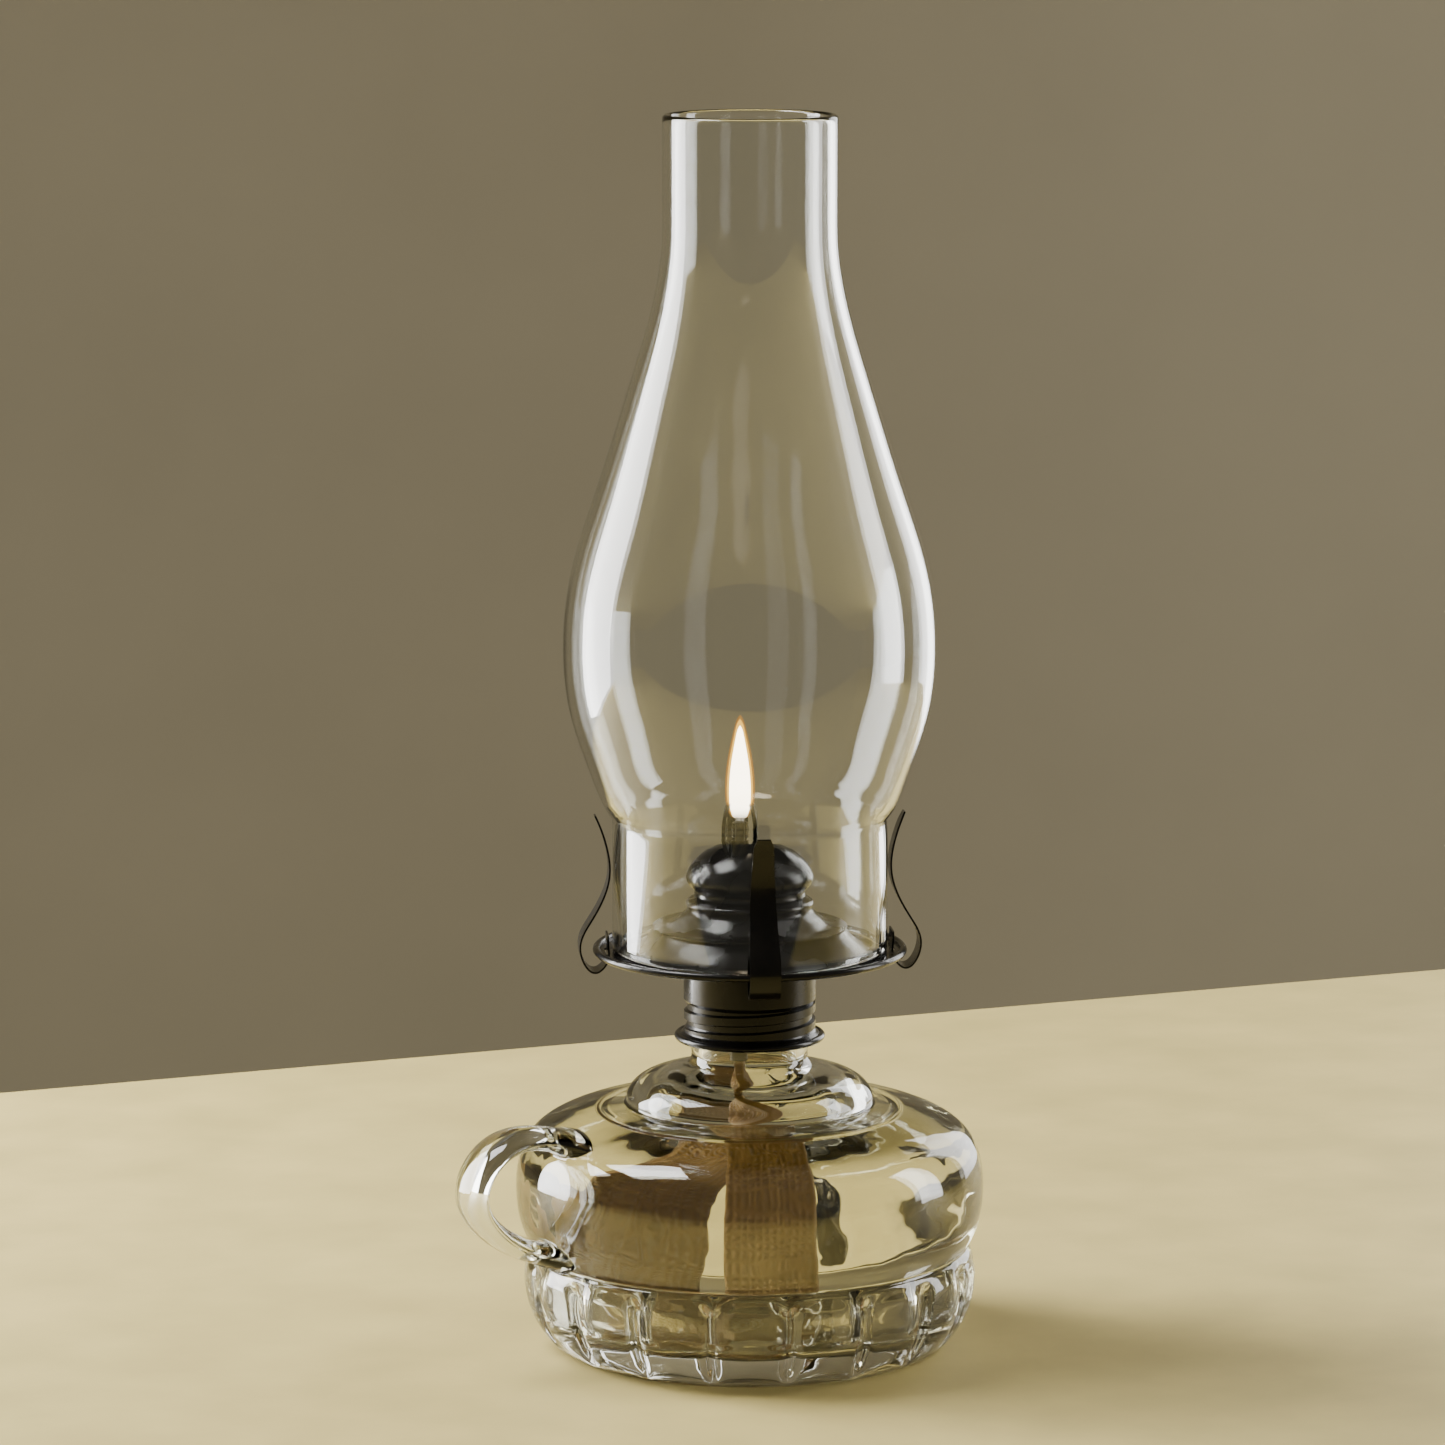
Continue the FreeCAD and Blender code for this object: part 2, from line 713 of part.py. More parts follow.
def wick():
    """The flat wick: straight in the tube, then turning and drifting aside to hang flat in the oil."""
    twist_from = plate_level - tube_below_plate - wick_twist_start
    steps = 8
    straight = Part.makeBox(
        wick_thickness, wick_width, wick_top - twist_from,
        Vector(tube_offset - wick_thickness / 2, -wick_width / 2, twist_from),
    )
    sections = []
    for i in range(steps + 1):
        share = i / steps
        eased = share * share * (3 - 2 * share)
        section = Part.makePolygon([
            Vector(x * wick_thickness / 2, y * wick_width / 2, 0)
            for x, y in ((-1, -1), (1, -1), (1, 1), (-1, 1), (-1, -1))
        ])
        section.rotate(Vector(), Z_AXIS, wick_twist * eased)
        section.translate(Vector(tube_offset + wick_drift * eased, 0, twist_from - share * wick_twist_length))
        sections.append(section)
    turning = Part.makeLoft(sections, True)
    hanging_top = twist_from - wick_twist_length
    hanging = Part.makeBox(
        wick_thickness, wick_width, hanging_top - wick_bottom,
        Vector(-wick_thickness / 2, -wick_width / 2, wick_bottom),
    )
    hanging.rotate(Vector(), Z_AXIS, wick_twist)
    hanging.translate(Vector(hang_offset, 0, 0))
    return clocked(straight.fuse(turning).fuse(hanging))


def wick_tail(grow=0.0):
    """The slack end of the wick, made larger by grow on every side."""
    lie = floor_level + tail_gap + wick_thickness / 2
    climb = tail_top - lie
    section = ribbon(
        [
            (-grow, lie),
            (0.30 * tail_reach, lie),
            (0.60 * tail_reach, lie + 0.3),
            (0.78 * tail_reach, lie + 0.03 * climb),
            (0.92 * tail_reach, lie + 0.13 * climb),
            (tail_reach, lie + 0.36 * climb),
            (tail_reach + 0.4, lie + 0.58 * climb),
            (tail_reach - 0.6, lie + 0.80 * climb),
            (tail_reach - 2.4, tail_top + grow),
        ],
        (1, 0), (-0.25, 1), wick_thickness + 2 * grow,
    )
    strip = section.extrude(Vector(0, wick_width + 2 * grow, 0))
    strip.translate(Vector(0, -wick_width / 2 - grow, 0))
    strip.rotate(Vector(), Z_AXIS, tail_heading)
    angle = math.radians(tail_start_angle)
    strip.translate(Vector(math.cos(angle), math.sin(angle), 0) * tail_start)
    return strip


def on_shaft(shape):
    """Places a piece that was drawn about the Y axis onto the raiser's shaft."""
    shape.translate(Vector(shaft_x, 0, shaft_level))
    return clocked(shape)


def shaft_start():
    return -(tube_width / 2 + bearing_thickness + 1.6)


def raiser_shaft():
    start = shaft_start()
    head = knob_face + knob_thickness
    shaft = Part.makeCylinder(shaft_radius, head - start, Vector(0, start, 0), Vector(0, 1, 0))
    rivet_head = Part.makeCylinder(shaft_radius * 1.7, 0.8, Vector(0, head, 0), Vector(0, 1, 0))
    return on_shaft(shaft.fuse(rivet_head))


def spur_wheel(place):
    points = []
    for i in range(2 * wheel_teeth + 1):
        radius = wheel_tip_radius if i % 2 == 0 else wheel_root_radius
        angle = math.pi * i / wheel_teeth
        points.append(Vector(radius * math.cos(angle), place - wheel_thickness / 2, radius * math.sin(angle)))
    star = Part.Face(Part.makePolygon(points)).extrude(Vector(0, wheel_thickness, 0))
    bore = Part.makeCylinder(shaft_radius, wheel_thickness * 3, Vector(0, place - wheel_thickness * 1.5, 0),
                             Vector(0, 1, 0))
    return on_shaft(star.cut(bore))


def knob():
    """The thumb wheel: a notched disc with a raised rim and a hub."""
    along = Vector(0, 1, 0)
    disc = Part.makeCylinder(knob_radius, knob_thickness, Vector(0, knob_face, 0), along)
    dish = Part.makeCylinder(knob_radius - 2.0, 0.8, Vector(0, knob_face + knob_thickness - 0.8, 0), along)
    boss = Part.makeCylinder(shaft_radius * 2.6, 0.8, Vector(0, knob_face + knob_thickness - 0.8, 0), along)
    hub = Part.makeCylinder(shaft_radius * 2.2, 3.0, Vector(0, knob_face - 3.0, 0), along)
    wheel = disc.cut(dish).fuse(boss).fuse(hub)
    for i in range(knob_notches):
        angle = 2 * math.pi * i / knob_notches
        centre = Vector(knob_radius * 1.02 * math.cos(angle), knob_face - 0.5, knob_radius * 1.02 * math.sin(angle))
        wheel = wheel.cut(Part.makeCylinder(0.55, knob_thickness + 1, centre, along))
    return on_shaft(wheel.cut(Part.makeCylinder(shaft_radius, 12, Vector(0, knob_face - 5, 0), along)))


def shaft_sleeve():
    """The bearing tube that carries the shaft out through the cap's wall."""
    start, end = tube_width / 2 + bearing_thickness + 1.4, knob_face - 3.0 - moving_gap
    along = Vector(0, 1, 0)
    outer = Part.makeCylinder(shaft_radius + shaft_gap + sleeve_wall, end - start, Vector(0, start, 0), along)
    return on_shaft(outer.cut(Part.makeCylinder(shaft_radius + shaft_gap, 80, Vector(), along)))


def shaft_bearing(side):
    """An angle bracket on the tube plate beside the wick tube; the shaft runs through its upright."""
    foot_level = plate_level + sheet - shaft_level
    inner = tube_width / 2 + 0.6
    left = -bearing_width / 2
    upright = Part.makeBox(
        bearing_width, bearing_thickness, shaft_radius + 1.8 - foot_level, Vector(left, inner, foot_level)
    )
    foot = Part.makeBox(bearing_width, bearing_foot, bearing_thickness, Vector(left, inner, foot_level))
    pin_hole = Part.makeCylinder(shaft_radius + shaft_gap, 30, Vector(), Vector(0, 1, 0))
    bracket = upright.fuse(foot).cut(pin_hole)
    if side < 0:
        bracket = bracket.mirror(Vector(), Vector(0, 1, 0))
    return on_shaft(bracket)


# ---------------------------------------------------------------- chimney prongs


def prong(angle):
    """One spring strip: a tab through the deck, a loop under the rim, and an arm that leans on the glass."""
    inner = fitter_radius + prong_to_glass + prong_sheet / 2
    low = seat_level - prong_loop_drop
    tip = seat_level + prong_height
    section = ribbon(
        [
            (prong_slot, seat_level + prong_tab_height),
            (prong_slot, seat_level + 0.5 * prong_tab_height),
            (prong_slot, seat_level - 1.4),
            (prong_slot + 0.45 * prong_loop_reach, low),
            (prong_outer, seat_level + 0.4),
            (prong_outer - 2.6, seat_level + 0.24 * prong_height),
            (inner, seat_level + 0.58 * prong_height),
            (inner + 0.9, seat_level + 0.80 * prong_height),
            (inner + 3.4, tip),
        ],
        (0, -1), (0.5, 1), prong_sheet,
    )
    blank = section.extrude(Vector(0, prong_root_width, 0))
    blank.translate(Vector(0, -prong_root_width / 2, 0))
    root, end = prong_root_width / 2, prong_tip_width / 2
    taper = Part.Face(Part.makePolygon([
        Vector(0, -root, low - 2), Vector(0, root, low - 2), Vector(0, root, seat_level + 5),
        Vector(0, end, tip - 2), Vector(0, end * 0.5, tip + 1), Vector(0, -end * 0.5, tip + 1),
        Vector(0, -end, tip - 2), Vector(0, -root, seat_level + 5), Vector(0, -root, low - 2),
    ])).extrude(Vector(prong_outer + 10, 0, 0))
    strip_solid = blank.common(taper)
    strip_solid.rotate(Vector(), Z_AXIS, angle)
    return clocked(strip_solid)


def pieces():
    """Every piece of the lamp by name."""
    found = {
        "font": font(),
        "lamp_oil": lamp_oil(),
        "chimney": chimney(),
        "screw_cap": screw_cap(),
        "cap_gasket": cap_gasket(),
        "tube_plate": tube_plate(),
        "wick_tube": wick_tube(),
        "draft_basket": draft_basket(),
        "gallery": gallery(),
        "cone": cone(),
        "dome": dome(),
        "wick": wick(),
        "wick_tail": wick_tail(),
        "raiser_shaft": raiser_shaft(),
        "shaft_bearing_1": shaft_bearing(-1),
        "shaft_bearing_2": shaft_bearing(1),
        "shaft_sleeve": shaft_sleeve(),
        "knob": knob(),
    }
    for i, place in enumerate(wheel_places()):
        found[f"spur_wheel_{i + 1}"] = spur_wheel(place)
    for i, angle in enumerate(prong_angles()):
        found[f"prong_{i + 1}"] = prong(angle)
    return found


def build():
    os.makedirs("parts", exist_ok=True)
    for name, shape in pieces().items():
        if not shape.isValid() or not shape.Solids:
            raise ValueError(f"{name} is not a valid solid")
        shape.exportStep(f"parts/{name}.step")
        box = shape.BoundBox
        print(f"{name:14s} solids {len(shape.Solids)}  volume {shape.Volume:10.1f}  z {box.ZMin:7.2f} {box.ZMax:7.2f}")


build()
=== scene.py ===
import bmesh
import bpy
import math
import numpy as np
from mathutils import Matrix, Vector


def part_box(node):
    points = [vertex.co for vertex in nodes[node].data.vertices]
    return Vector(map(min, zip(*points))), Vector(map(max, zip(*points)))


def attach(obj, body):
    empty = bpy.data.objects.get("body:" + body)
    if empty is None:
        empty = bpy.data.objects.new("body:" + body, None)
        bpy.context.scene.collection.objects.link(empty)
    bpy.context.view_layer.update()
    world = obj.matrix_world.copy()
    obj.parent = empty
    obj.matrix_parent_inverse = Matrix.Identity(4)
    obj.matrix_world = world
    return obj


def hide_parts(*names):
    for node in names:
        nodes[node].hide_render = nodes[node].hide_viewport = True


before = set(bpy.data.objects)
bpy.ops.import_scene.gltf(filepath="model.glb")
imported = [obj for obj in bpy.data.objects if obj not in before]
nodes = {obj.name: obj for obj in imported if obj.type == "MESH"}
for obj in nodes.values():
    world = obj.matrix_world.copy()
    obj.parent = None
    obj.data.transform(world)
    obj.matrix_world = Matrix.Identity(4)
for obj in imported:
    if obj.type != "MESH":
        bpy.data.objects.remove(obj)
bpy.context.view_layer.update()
mm = 0.001


def srgb(code):  # "#rrggbb" to the linear colour a shader socket takes
    parts = [int(code[i:i + 2], 16) / 255 for i in (1, 3, 5)]
    return [c / 12.92 if c <= 0.04045 else ((c + 0.055) / 1.055) ** 2.4 for c in parts] + [1]


def addNode(tree, kind, settings=None, links=None):
    node = tree.nodes.new(kind)
    for name, value in (settings or {}).items():
        if isinstance(name, str) and hasattr(node, name):
            setattr(node, name, value)
        else:
            node.inputs[name].default_value = value
    for name, source in (links or {}).items():
        tree.links.new(source, node.inputs[name])
    return node


def newMaterial(name):
    material = bpy.data.materials.new(name)
    material.use_nodes = True
    tree = material.node_tree
    shader = tree.nodes["Principled BSDF"]
    place = addNode(tree, "ShaderNodeTexCoord")
    return material, tree, shader, place.outputs["Object"]


def smoothLine(points, startWay, endWay, stations):
    # a cubic curve through the points, evenly stepped, with both end directions given
    p = np.array(points, float)
    gap = np.linalg.norm(np.diff(p, axis=0), axis=1)
    count = len(p)
    left, right = np.zeros((count, count)), np.zeros((count, 2))
    left[0, 0] = left[-1, -1] = 1
    right[0] = np.array(startWay) / np.linalg.norm(startWay)
    right[-1] = np.array(endWay) / np.linalg.norm(endWay)
    for i in range(1, count - 1):
        left[i, i - 1], left[i, i], left[i, i + 1] = gap[i], 2 * (gap[i - 1] + gap[i]), gap[i - 1]
        right[i] = 3 * (gap[i] * (p[i] - p[i - 1]) / gap[i - 1] + gap[i - 1] * (p[i + 1] - p[i]) / gap[i])
    way = np.linalg.solve(left, right)
    along = np.concatenate([[0], np.cumsum(gap)])
    line = []
    for s in np.linspace(0, along[-1], stations):
        i = min(int(np.searchsorted(along, s, side="right")) - 1, count - 2)
        t = (s - along[i]) / gap[i]
        line.append(tuple(
            (2 * t**3 - 3 * t**2 + 1) * p[i] + (t**3 - 2 * t**2 + t) * gap[i] * way[i]
            + (3 * t**2 - 2 * t**3) * p[i + 1] + (t**3 - t**2) * gap[i] * way[i + 1]
        ))
    return line


def latheMesh(profile, steps, closed=False):
    # profile: (radius, height) in mm; a closed one makes a hollow ring with a wall
    bm = bmesh.new()
    verts = [bm.verts.new((r * mm, 0, z * mm)) for r, z in profile]
    edges = [bm.edges.new(pair) for pair in zip(verts, verts[1:])]
    if closed:
        edges.append(bm.edges.new((verts[-1], verts[0])))
    bmesh.ops.spin(
        bm, geom=verts + edges, cent=(0, 0, 0), axis=(0, 0, 1),
        angle=2 * math.pi, steps=steps, use_merge=True,
    )
    bmesh.ops.remove_doubles(bm, verts=bm.verts, dist=2e-6)
    bmesh.ops.recalc_face_normals(bm, faces=bm.faces)
    return bm


def looseObject(name, bm):
    mesh = bpy.data.meshes.new(name)
    bm.to_mesh(mesh)
    bm.free()
    thing = bpy.data.objects.new(name, mesh)
    bpy.context.scene.collection.objects.link(thing)
    return thing


def addPiece(name, bm, material, body, stands=()):
    piece = looseObject(name, bm)
    piece.data.materials.append(material)
    piece.data.shade_smooth()
    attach(piece, body)
    if stands:
        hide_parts(*stands)
    return piece


def applyModifiers(piece):
    bpy.context.view_layer.update()
    ready = piece.evaluated_get(bpy.context.evaluated_depsgraph_get())
    mesh = bpy.data.meshes.new_from_object(ready)
    piece.modifiers.clear()
    piece.data = mesh


cameraSet = {
    "azimuth": -30,  # degrees round from the front
    "distance": 1.5,
    "height": 0.392,
    "tilt": 9.05,  # degrees down
    "lens": 156.86,
    "sensor": 36,
    "aside": 0.0066,  # moves the lamp a little right of the middle
}


def makeCamera():
    turn = math.radians(cameraSet["azimuth"])
    back = Vector((math.sin(turn), -math.cos(turn), 0))
    across = Vector((math.cos(turn), math.sin(turn), 0))
    camera = bpy.data.objects.new("camera", bpy.data.cameras.new("camera"))
    camera.data.lens = cameraSet["lens"]
    camera.data.sensor_width = cameraSet["sensor"]
    camera.data.clip_start = 0.05
    camera.data.clip_end = 20
    raised = Vector((0, 0, cameraSet["height"]))
    camera.location = back * cameraSet["distance"] - across * cameraSet["aside"] + raised
    camera.rotation_euler = (math.radians(90 - cameraSet["tilt"]), 0, turn)
    bpy.context.scene.collection.objects.link(camera)
    bpy.context.scene.camera = camera
    return back, across


toCamera, acrossView = makeCamera()
print("camera placed")


def blownGlass():
    # soda-lime glass, blown: clear and bright, with faint long ripples
    material, tree, shader, place = newMaterial("blown soda-lime glass")
    stretch = addNode(tree, "ShaderNodeMapping", {"Scale": (1, 1, 0.25)}, {"Vector": place})
    ripple = addNode(tree, "ShaderNodeTexNoise", {"Scale": 45, "Detail": 1.0}, {"Vector": stretch.outputs[0]})
    bump = addNode(
        tree, "ShaderNodeBump", {"Strength": 0.12, "Distance": 0.0008}, {"Height": ripple.outputs[0]}
    )
    tree.links.new(bump.outputs[0], shader.inputs["Normal"])
    shader.inputs["Base Color"].default_value = srgb("#FBFCFA")
    shader.inputs["Roughness"].default_value = 0.0
    shader.inputs["IOR"].default_value = 1.5
    shader.inputs["Transmission Weight"].default_value = 1.0
    return material


def pressedGlass():
    # pressed and fire-polished glass: thick, soft-edged, with a wavy skin from the mould
    material, tree, shader, place = newMaterial("pressed glass")
    skin = addNode(tree, "ShaderNodeTexNoise", {"Scale": 70, "Detail": 1.5}, {"Vector": place})
    bump = addNode(
        tree, "ShaderNodeBump", {"Strength": 0.25, "Distance": 0.0010}, {"Height": skin.outputs[0]}
    )
    tree.links.new(bump.outputs[0], shader.inputs["Normal"])
    shader.inputs["Base Color"].default_value = srgb("#F8FAF6")
    shader.inputs["Roughness"].default_value = 0.0
    shader.inputs["IOR"].default_value = 1.52
    shader.inputs["Transmission Weight"].default_value = 1.0
    return material


def lampOilLiquid():
    # paraffin oil: nearly water-clear with a trace of straw
    material, _, shader, _ = newMaterial("paraffin lamp oil")
    shader.inputs["Base Color"].default_value = srgb("#FAF5E4")
    shader.inputs["Roughness"].default_value = 0.0
    shader.inputs["IOR"].default_value = 1.44
    shader.inputs["Transmission Weight"].default_value = 1.0
    return material


def burnishedSteel(name, base, roughness):
    # thin pressed steel, blackened and waxed: dark and glossy, rubbed paler in fine patches
    material, tree, shader, place = newMaterial(name)
    patches = addNode(tree, "ShaderNodeTexNoise", {"Scale": 220, "Detail": 4}, {"Vector": place})
    tint = addNode(tree, "ShaderNodeValToRGB", {}, {"Fac": patches.outputs[0]})
    tint.color_ramp.elements[0].position = 0.35
    tint.color_ramp.elements[0].color = srgb(base)
    tint.color_ramp.elements[1].position = 0.8
    tint.color_ramp.elements[1].color = srgb("#181614")
    tree.links.new(tint.outputs[0], shader.inputs["Base Color"])
    smear = addNode(tree, "ShaderNodeTexNoise", {"Scale": 60, "Detail": 3}, {"Vector": place})
    gloss = addNode(
        tree, "ShaderNodeMapRange",
        {"From Min": 0.3, "From Max": 0.7, "To Min": roughness - 0.06, "To Max": roughness + 0.1},
        {"Value": smear.outputs[0]},
    )
    tree.links.new(gloss.outputs[0], shader.inputs["Roughness"])
    grain = addNode(tree, "ShaderNodeTexNoise", {"Scale": 900, "Detail": 2}, {"Vector": place})
    bump = addNode(
        tree, "ShaderNodeBump", {"Strength": 0.2, "Distance": 0.00008}, {"Height": grain.outputs[0]}
    )
    tree.links.new(bump.outputs[0], shader.inputs["Normal"])
    shader.inputs["Metallic"].default_value = 0.2
    shader.inputs["Specular IOR Level"].default_value = 0.22
    shader.inputs["Coat Weight"].default_value = 0.2
    shader.inputs["Coat Roughness"].default_value = 0.08
    return material


def plainSteel():
    # drawn steel wire and stamped wheels, left bright: a fine noise grain, in the bump and the tint, stands
    # for the drawing lines round the shaft
    material, tree, shader, place = newMaterial("drawn steel")
    grain = addNode(tree, "ShaderNodeTexNoise", {"Scale": 1400, "Detail": 3}, {"Vector": place})
    bump = addNode(
        tree, "ShaderNodeBump", {"Strength": 0.3, "Distance": 0.00005}, {"Height": grain.outputs[0]}
    )
    tree.links.new(bump.outputs[0], shader.inputs["Normal"])
    tint = addNode(tree, "ShaderNodeValToRGB", {}, {"Fac": grain.outputs[0]})
    tint.color_ramp.elements[0].color = srgb("#5E5A55")
    tint.color_ramp.elements[1].color = srgb("#9A958D")
    tree.links.new(tint.outputs[0], shader.inputs["Base Color"])
    shader.inputs["Metallic"].default_value = 1.0
    shader.inputs["Roughness"].default_value = 0.32
    return material


def pressedCork():
    # cork crumbs bound with rubber: matte brown with darker specks
    material, tree, shader, place = newMaterial("pressed cork")
    crumbs = addNode(tree, "ShaderNodeTexVoronoi", {"Scale": 900}, {"Vector": place})
    tint = addNode(tree, "ShaderNodeValToRGB", {}, {"Fac": crumbs.outputs["Color"]})
    tint.color_ramp.elements[0].color = srgb("#4B3A28")
    tint.color_ramp.elements[1].color = srgb("#A07F58")
    tree.links.new(tint.outputs[0], shader.inputs["Base Color"])
    bump = addNode(
        tree, "ShaderNodeBump", {"Strength": 0.6, "Distance": 0.0002}, {"Height": crumbs.outputs["Distance"]}
    )
    tree.links.new(bump.outputs[0], shader.inputs["Normal"])
    shader.inputs["Roughness"].default_value = 0.85
    return material


def wovenCotton(topLevel):
    # flat woven wick: tan where it is soaked, warp cords 1.3 mm apart, charred black at the burning end
    material, tree, shader, place = newMaterial("woven cotton wick")
    uv = addNode(tree, "ShaderNodeUVMap", {"uv_map": "weave"})
    warp = addNode(
        tree, "ShaderNodeTexWave",
        {"wave_type": "BANDS", "bands_direction": "X", "Scale": 245.0, "Distortion": 0.6},
        {"Vector": uv.outputs[0]},
    )
    weft = addNode(
        tree, "ShaderNodeTexWave",
        {"wave_type": "BANDS", "bands_direction": "Y", "Scale": 300.0, "Distortion": 1.0},
        {"Vector": uv.outputs[0]},
    )
    weave = addNode(
        tree, "ShaderNodeMath", {"operation": "MULTIPLY"}, {0: warp.outputs[1], 1: weft.outputs[1]}
    )
    bump = addNode(
        tree, "ShaderNodeBump", {"Strength": 0.8, "Distance": 0.0004}, {"Height": weave.outputs[0]}
    )
    tree.links.new(bump.outputs[0], shader.inputs["Normal"])
    soak = addNode(tree, "ShaderNodeTexNoise", {"Scale": 90, "Detail": 3}, {"Vector": place})
    tint = addNode(tree, "ShaderNodeValToRGB", {}, {"Fac": soak.outputs[0]})
    tint.color_ramp.elements[0].position = 0.3
    tint.color_ramp.elements[0].color = srgb("#84601F")
    tint.color_ramp.elements[1].position = 0.75
    tint.color_ramp.elements[1].color = srgb("#A98440")
    height = addNode(tree, "ShaderNodeSeparateXYZ", {}, {0: place})
    char = addNode(
        tree, "ShaderNodeMapRange",
        {"From Min": topLevel - 0.009, "From Max": topLevel - 0.003, "To Min": 0.0, "To Max": 1.0},
        {"Value": height.outputs[2]},
    )
    burnt = addNode(
        tree, "ShaderNodeMix", {"data_type": "RGBA", 7: srgb("#0C0A08")},
        {0: char.outputs[0], 6: tint.outputs[0]},
    )
    tree.links.new(burnt.outputs[2], shader.inputs["Base Color"])
    shader.inputs["Roughness"].default_value = 0.7
    shader.inputs["Sheen Weight"].default_value = 0.15
    return material


def flameGlow(name, colour, strength, opacity, low, high):
    # one thin shell of burning gas: it gives its own light, and fades to nothing where it leaves the wick
    material, tree, shader, place = newMaterial(name)
    height = addNode(tree, "ShaderNodeSeparateXYZ", {}, {0: place})
    fade = addNode(
        tree, "ShaderNodeMapRange", {"From Min": low, "From Max": high, "To Min": 0.0, "To Max": opacity},
        {"Value": height.outputs[2]},
    )
    tree.links.new(fade.outputs[0], shader.inputs["Alpha"])
    shader.inputs["Base Color"].default_value = srgb("#000000")
    shader.inputs["Specular IOR Level"].default_value = 0.0
    shader.inputs["Emission Color"].default_value = srgb(colour)
    shader.inputs["Emission Strength"].default_value = strength
    return material


chimneySet = {
    "fitterRadius": 33.35,
    "fitterHeight": 33.0,
    "bulgeRadius": 45.0,
    "topRadius": 21.0,
    "wall": 1.9,
    "steps": 160,
}


def makeChimney(glass):
    s = chimneySet
    low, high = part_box("chimney")
    base, top = low.z / mm, high.z / mm
    waist = base + s["fitterHeight"]
    rise = top - waist
    swell, draw = s["bulgeRadius"] - s["fitterRadius"], s["bulgeRadius"] - s["topRadius"]
    outline = [
        (s["fitterRadius"] + 0.3, 0.0), (s["fitterRadius"] + 0.42 * swell, 0.056),
        (s["fitterRadius"] + 0.86 * swell, 0.148), (s["bulgeRadius"], 0.254),
        (s["topRadius"] + 0.94 * draw, 0.337), (s["topRadius"] + 0.66 * draw, 0.471),
        (s["topRadius"] + 0.31 * draw, 0.628), (s["topRadius"] + 0.055 * draw, 0.763),
        (s["topRadius"] + 0.02, 0.84),
    ]
    outer = smoothLine([(r, waist + share * rise) for r, share in outline], (1, 1.2), (0, 1), 72)
    ease = [(s["fitterRadius"] + 0.10, outer[0][1] - 0.5), (s["fitterRadius"] + 0.01, outer[0][1] - 1.3)]
    fitter = [(s["fitterRadius"], z) for z in np.linspace(outer[0][1] - 2.6, base + 2.0, 10)]
    tube = [(s["topRadius"], z) for z in np.linspace(outer[-1][1] + 2, top - 2.2, 12)]
    side = outer[::-1] + ease + fitter  # from the tube down to the base
    wall = s["wall"]
    inner = []
    for i in range(len(side)):
        a, b = np.array(side[max(i - 1, 0)]), np.array(side[min(i + 1, len(side) - 1)])
        way = (b - a) / np.linalg.norm(b - a)
        inner.append((side[i][0] + way[1] * wall, side[i][1] - way[0] * wall))
    turns = np.linspace(0, math.pi, 9)
    foot = [
        (s["fitterRadius"] - wall / 2 + wall / 2 * math.cos(a), base + wall / 2 - wall / 2 * math.sin(a))
        for a in turns
    ]
    # the top rim is fire-polished, a little thicker than the wall
    rim = [
        (s["topRadius"] - wall / 2 - wall * 0.5 * math.cos(a), top - wall * 0.55 + wall * 0.55 * math.sin(a))
        for a in turns
    ]
    profile = side + foot + inner[::-1] + [(r - wall, z) for r, z in tube] + rim + tube[::-1]
    bm = latheMesh(profile, s["steps"], closed=True)
    return addPiece("glassChimney", bm, glass, "chimney", ["chimney"])


fontSet = {
    "footRadius": 46.0, "footRing": 5.0, "recess": 3.0,
    "bandRadius": 55.0, "bandHeight": 24.5, "grooveDepth": 2.2,
    "lobes": 18, "lobeDepth": 2.8,
    "bodyRadius": 57.0, "bodyHeight": 60.0,
    "discRadius": 29.3, "discHeight": 9.6,
    "neckRadius": 14.2, "boreRadius": 11.4,
    "wall": 3.6, "floor": 5.5,
    "steps": 324,
}


def fontOutside():
    s = fontSet
    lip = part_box("font")[1].z / mm
    body = s["bodyHeight"] - s["bandHeight"]
    discTop = s["bodyHeight"] + s["discHeight"]
    inFoot = s["footRadius"] - s["footRing"]
    groove = (s["bandRadius"] - s["grooveDepth"], s["bandHeight"])
    step = (s["discRadius"] + 0.6, s["bodyHeight"])
    recess = s["recess"]
    under = [(0, recess), (14, recess), (28, recess), (inFoot - recess - 1.5, recess)]
    under += [(inFoot - recess + 0.4, recess - 0.5), (inFoot - 0.4, 0.35), (inFoot + 0.5, 0)]
    under += [(s["footRadius"] - 1.0, 0)]
    band = smoothLine(
        [
            (s["footRadius"], 0.12), (s["bandRadius"] - 3.0, 0.24 * s["bandHeight"]),
            (s["bandRadius"], 0.58 * s["bandHeight"]), groove,
        ],
        (1, 0.35), (-0.8, 0.6), 34,
    )
    flank = smoothLine(
        [
            groove, (s["bodyRadius"], s["bandHeight"] + 0.38 * body),
            (s["bodyRadius"] - 3.9, s["bandHeight"] + 0.78 * body),
            (s["bodyRadius"] - 12.0, s["bandHeight"] + 0.912 * body), step,
        ],
        (0.8, 1), (-1, 0.1), 60,
    )
    disc = smoothLine(
        [
            step, (s["discRadius"] - 0.2, s["bodyHeight"] + 0.36 * s["discHeight"]),
            (s["discRadius"] - 5.0, s["bodyHeight"] + 0.70 * s["discHeight"]),
            (s["neckRadius"] + 3.4, discTop - 0.12 * s["discHeight"]), (s["neckRadius"], discTop + 1.6),
        ],
        (0.5, 1), (-0.15, 1), 34,
    )
    neck = [(s["neckRadius"], z) for z in np.linspace(discTop + 2.6, lip - 1.0, 8)]
    edge = [(s["neckRadius"] - 0.25, lip - 0.28), (s["neckRadius"] - 0.95, lip)]
    return under + band + flank[1:] + disc[1:] + neck + edge, lip, discTop


